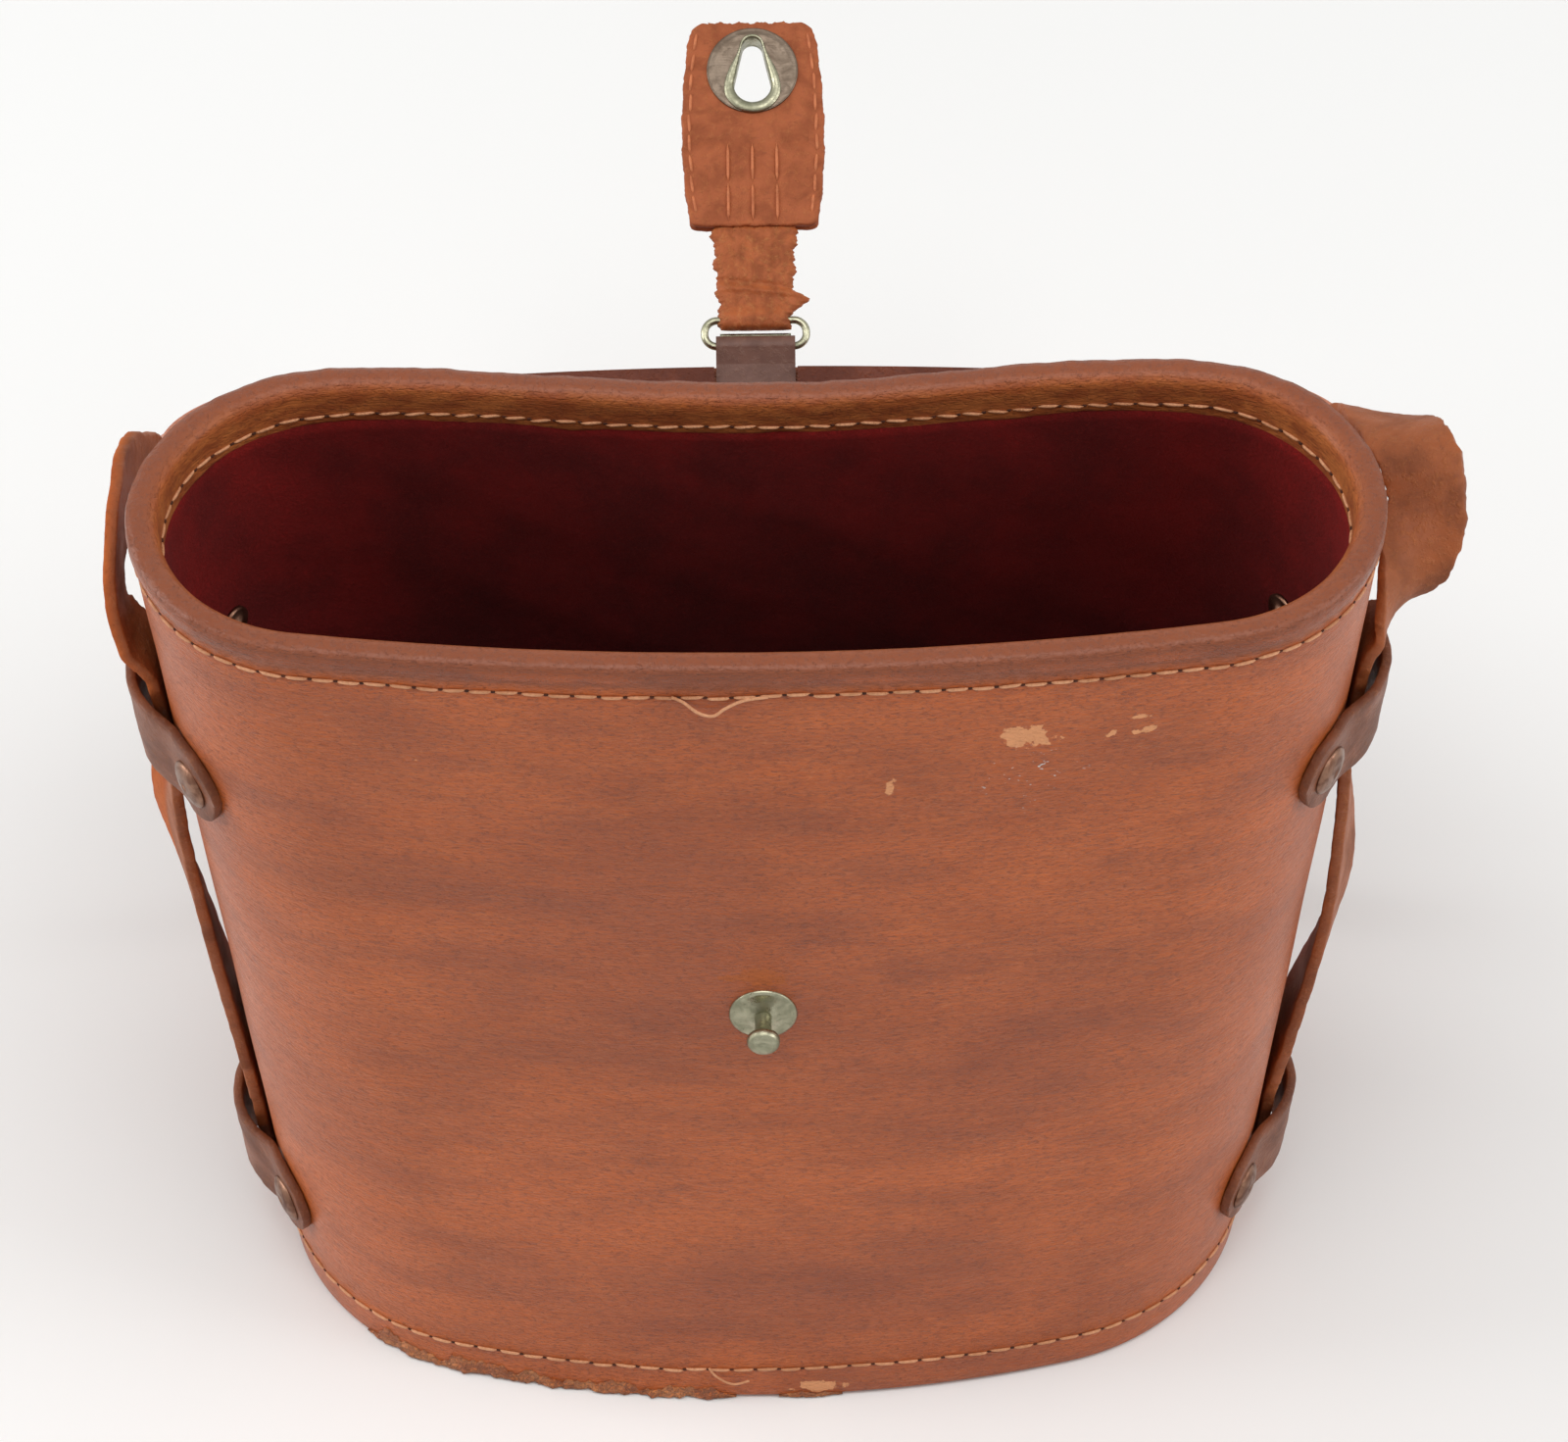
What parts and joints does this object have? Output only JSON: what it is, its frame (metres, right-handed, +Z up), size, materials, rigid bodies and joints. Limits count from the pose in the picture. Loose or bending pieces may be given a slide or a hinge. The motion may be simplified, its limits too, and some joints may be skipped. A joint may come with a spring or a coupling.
{
  "type": "binocular hard case",
  "caption": "Stiff leather case with an oval body that widens upwards, hinged lid swung fully open, keyhole tab on a ring for a front stud, and a flat carry strap.",
  "frame": {"origin": "centre of the underside of the base, on the floor", "axes": "+X along the case's long way, +Y towards the back where the lid hinges, +Z up out of the mouth"},
  "size_m": [0.244, 0.2358, 0.1901],
  "materials": {
    "case_leather": "polished worn hide",
    "strap_leather": "dry cracked hide",
    "tab_leather": "matt hide",
    "stiff_board": "grey-brown fibre board",
    "red_felt": "short nap felt",
    "nickelled_brass": "tarnished plate",
    "rivet_metal": "browned dome"
  },
  "bodies": {
    "case": {"wall_leather": "case_leather", "wall_board": "stiff_board", "wall_lining": "red_felt", "bottom_leather": "case_leather", "bottom_board": "stiff_board", "bottom_lining": "red_felt", "stud_base": "nickelled_brass", "stud_post": "nickelled_brass", "stud_burr": "nickelled_brass", "keeper_upper_left": "case_leather", "keeper_upper_right": "case_leather", "keeper_lower_left": "case_leather", "keeper_lower_right": "case_leather", "keeper_rivets_upper_left": "rivet_metal", "keeper_rivets_upper_right": "rivet_metal", "keeper_rivets_lower_left": "rivet_metal", "keeper_rivets_lower_right": "rivet_metal", "carry_strap": "strap_leather", "hinge_leather": "case_leather"},
    "lid": {"lid_top_leather": "case_leather", "lid_top_board": "stiff_board", "lid_top_lining": "red_felt", "lid_skirt_leather": "case_leather", "lid_skirt_board": "stiff_board", "lid_skirt_lining": "red_felt", "latch_strap": "case_leather", "latch_rivets": "nickelled_brass"},
    "ring": {"latch_ring": "nickelled_brass"},
    "stretch": {"stretch_strap": "tab_leather"},
    "tab": {"tab_front_leather": "tab_leather", "tab_back_leather": "tab_leather", "tab_core": "tab_leather", "keyhole_plate_front": "nickelled_brass", "keyhole_plate_back": "nickelled_brass"}
  },
  "joints": [
    {"name": "lid_hinge", "type": "hinge", "parent": "case", "child": "lid", "pos_m": [0, 0.0539, 0.1769], "axis": [1, 0, 0], "range_deg": [0, 231], "deforming": ["hinge_leather"]},
    {"name": "ring_swing", "type": "hinge", "parent": "lid", "child": "ring", "pos_m": [0, 0.12218, 0.10703], "axis": [-1, 0, 0], "range_deg": [-4.5, 50]},
    {"name": "tab_swing", "type": "hinge", "parent": "ring", "child": "stretch", "pos_m": [0, 0.12664, 0.1097], "axis": [-1, 0, 0], "range_deg": [-5.5, 80]},
    {"name": "tab_stretch", "type": "slide", "parent": "stretch", "child": "tab", "axis": [0, 0.9037, 0.4282], "range_m": [0, 0.0082], "stiffness_N_per_m": 250, "deforming": ["stretch_strap"]}
  ]
}
